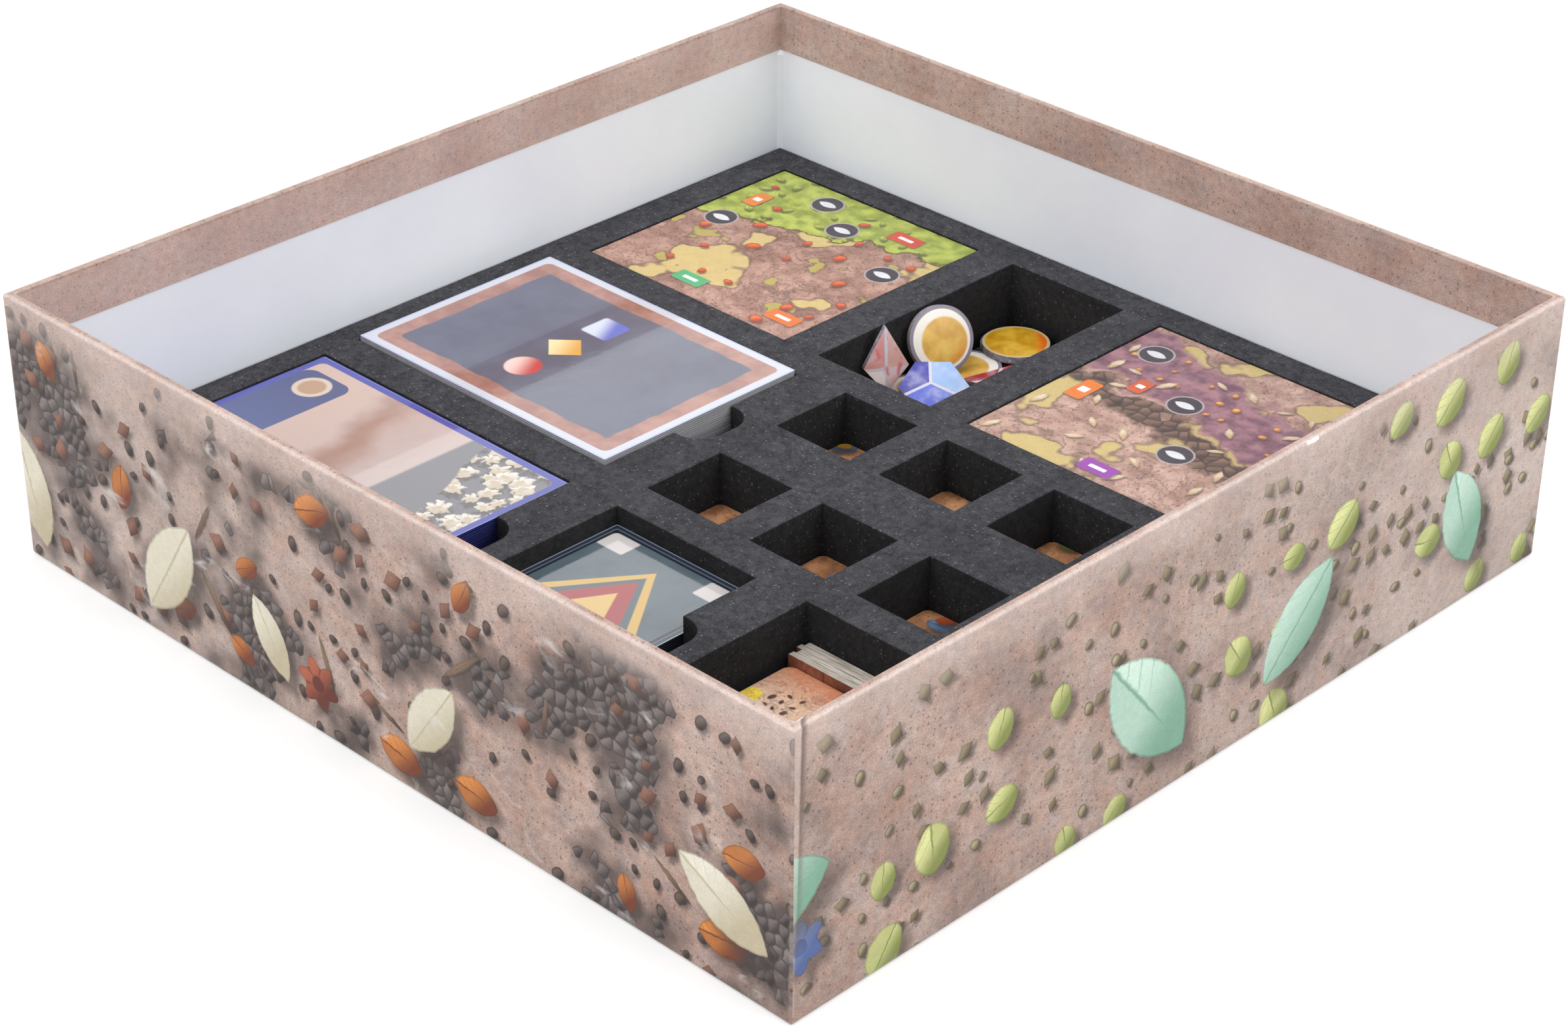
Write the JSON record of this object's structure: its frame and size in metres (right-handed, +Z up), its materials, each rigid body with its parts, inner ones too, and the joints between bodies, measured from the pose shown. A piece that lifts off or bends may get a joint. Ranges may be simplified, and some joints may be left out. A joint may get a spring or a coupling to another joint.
{
  "type": "board game box with foam insert",
  "caption": "Open square board game box: wrapped greyboard tray with a pocketed foam insert holding sleeved card decks, map boards, tiles and tokens.",
  "frame": {"origin": "middle of the box's underside", "axes": "+Z up out of the open box, -Y towards the front wall, +X to the right"},
  "size_m": [0.256, 0.256, 0.07],
  "materials": {
    "greyboard": "raw grey pulp board",
    "stay_tape": "kraft paper tape",
    "printed_wrap": "printed art paper, satin laminate",
    "white_paper": "plain white paper, matt",
    "bottom_paper": "printed art paper, satin laminate",
    "foam": "open-cell foam, cut by water jet, matt",
    "blue_cards": "printed cards in clear sleeves",
    "picture_cards": "printed cards in clear sleeves",
    "mini_cards": "small printed cards in clear sleeves",
    "square_map_print": "printed and punched greyboard, satin",
    "long_map_print": "printed and punched greyboard, satin",
    "tile_print": "printed and punched greyboard, satin",
    "slab_print": "printed and punched greyboard, satin",
    "strip_board": "printed greyboard with its cut edge up",
    "coin_print": "printed and punched greyboard, satin",
    "amber_print": "printed and punched greyboard, satin",
    "red_print": "printed and punched greyboard, satin",
    "blue_print": "printed and punched greyboard, satin",
    "pink_print": "printed and punched greyboard, satin"
  },
  "bodies": {
    "box": {"base_board": "greyboard", "front_board": "greyboard", "back_board": "greyboard", "left_board": "greyboard", "right_board": "greyboard", "corner_stays": "stay_tape", "side_wrap": "printed_wrap", "white_liner": "white_paper", "bottom_sheet": "bottom_paper"},
    "foam_tray": {"foam_block": "foam", "foam_floor": "foam"},
    "blue_deck": {"blue_card_deck": "blue_cards"},
    "picture_deck": {"picture_card_deck": "picture_cards"},
    "mini_deck": {"mini_card_deck": "mini_cards"},
    "square_maps": {"square_map_stack": "square_map_print"},
    "long_maps": {"long_map_stack": "long_map_print"},
    "slabs": {"slab_stack": "slab_print"},
    "strips": {"standing_strips": "strip_board"},
    "coins": {"bottom_coins": "coin_print"},
    "amber": {"amber_coin": "amber_print"},
    "red": {"red_gem": "red_print"},
    "leaning": {"leaning_coin": "coin_print"},
    "blue": {"blue_gem": "blue_print"},
    "crystal": {"pink_crystal": "pink_print"},
    "tiles_1": {"tile_stack_1": "tile_print"},
    "tiles_2": {"tile_stack_2": "tile_print"},
    "tiles_3": {"tile_stack_3": "tile_print"},
    "tiles_4": {"tile_stack_4": "tile_print"},
    "tiles_5": {"tile_stack_5": "tile_print"},
    "tiles_6": {"tile_stack_6": "tile_print"},
    "tiles_7": {"tile_stack_7": "tile_print"},
    "tiles_8": {"tile_stack_8": "tile_print"}
  },
  "joints": [
    {"name": "foam_tray_lift", "type": "slide", "parent": "box", "child": "foam_tray", "axis": [0, 0, 1], "range_m": [0, 0.075]},
    {"name": "blue_deck_lift", "type": "slide", "parent": "foam_tray", "child": "blue_deck", "axis": [0, 0, 1], "range_m": [0, 0.07]},
    {"name": "picture_deck_lift", "type": "slide", "parent": "foam_tray", "child": "picture_deck", "axis": [0, 0, 1], "range_m": [0, 0.07]},
    {"name": "mini_deck_lift", "type": "slide", "parent": "foam_tray", "child": "mini_deck", "axis": [0, 0, 1], "range_m": [0, 0.07]},
    {"name": "square_maps_lift", "type": "slide", "parent": "foam_tray", "child": "square_maps", "axis": [0, 0, 1], "range_m": [0, 0.07]},
    {"name": "long_maps_lift", "type": "slide", "parent": "foam_tray", "child": "long_maps", "axis": [0, 0, 1], "range_m": [0, 0.07]},
    {"name": "slabs_lift", "type": "slide", "parent": "foam_tray", "child": "slabs", "axis": [0, 0, 1], "range_m": [0, 0.07]},
    {"name": "strips_lift", "type": "slide", "parent": "foam_tray", "child": "strips", "axis": [0, 0, 1], "range_m": [0, 0.07]},
    {"name": "coins_lift", "type": "slide", "parent": "foam_tray", "child": "coins", "axis": [0, 0, 1], "range_m": [0, 0.07]},
    {"name": "amber_lift", "type": "slide", "parent": "coins", "child": "amber", "axis": [0, 0, 1], "range_m": [0, 0.07]},
    {"name": "red_lift", "type": "slide", "parent": "coins", "child": "red", "axis": [0, 0, 1], "range_m": [0, 0.07]},
    {"name": "leaning_lift", "type": "slide", "parent": "coins", "child": "leaning", "axis": [0, 0, 1], "range_m": [0, 0.07]},
    {"name": "blue_lift", "type": "slide", "parent": "coins", "child": "blue", "axis": [0, 0, 1], "range_m": [0, 0.07]},
    {"name": "crystal_lift", "type": "slide", "parent": "coins", "child": "crystal", "axis": [0, 0, 1], "range_m": [0, 0.07]},
    {"name": "tiles_1_lift", "type": "slide", "parent": "foam_tray", "child": "tiles_1", "axis": [0, 0, 1], "range_m": [0, 0.07]},
    {"name": "tiles_2_lift", "type": "slide", "parent": "foam_tray", "child": "tiles_2", "axis": [0, 0, 1], "range_m": [0, 0.07]},
    {"name": "tiles_3_lift", "type": "slide", "parent": "foam_tray", "child": "tiles_3", "axis": [0, 0, 1], "range_m": [0, 0.07]},
    {"name": "tiles_4_lift", "type": "slide", "parent": "foam_tray", "child": "tiles_4", "axis": [0, 0, 1], "range_m": [0, 0.07]},
    {"name": "tiles_5_lift", "type": "slide", "parent": "foam_tray", "child": "tiles_5", "axis": [0, 0, 1], "range_m": [0, 0.07]},
    {"name": "tiles_6_lift", "type": "slide", "parent": "foam_tray", "child": "tiles_6", "axis": [0, 0, 1], "range_m": [0, 0.07]},
    {"name": "tiles_7_lift", "type": "slide", "parent": "foam_tray", "child": "tiles_7", "axis": [0, 0, 1], "range_m": [0, 0.07]},
    {"name": "tiles_8_lift", "type": "slide", "parent": "foam_tray", "child": "tiles_8", "axis": [0, 0, 1], "range_m": [0, 0.07]}
  ]
}
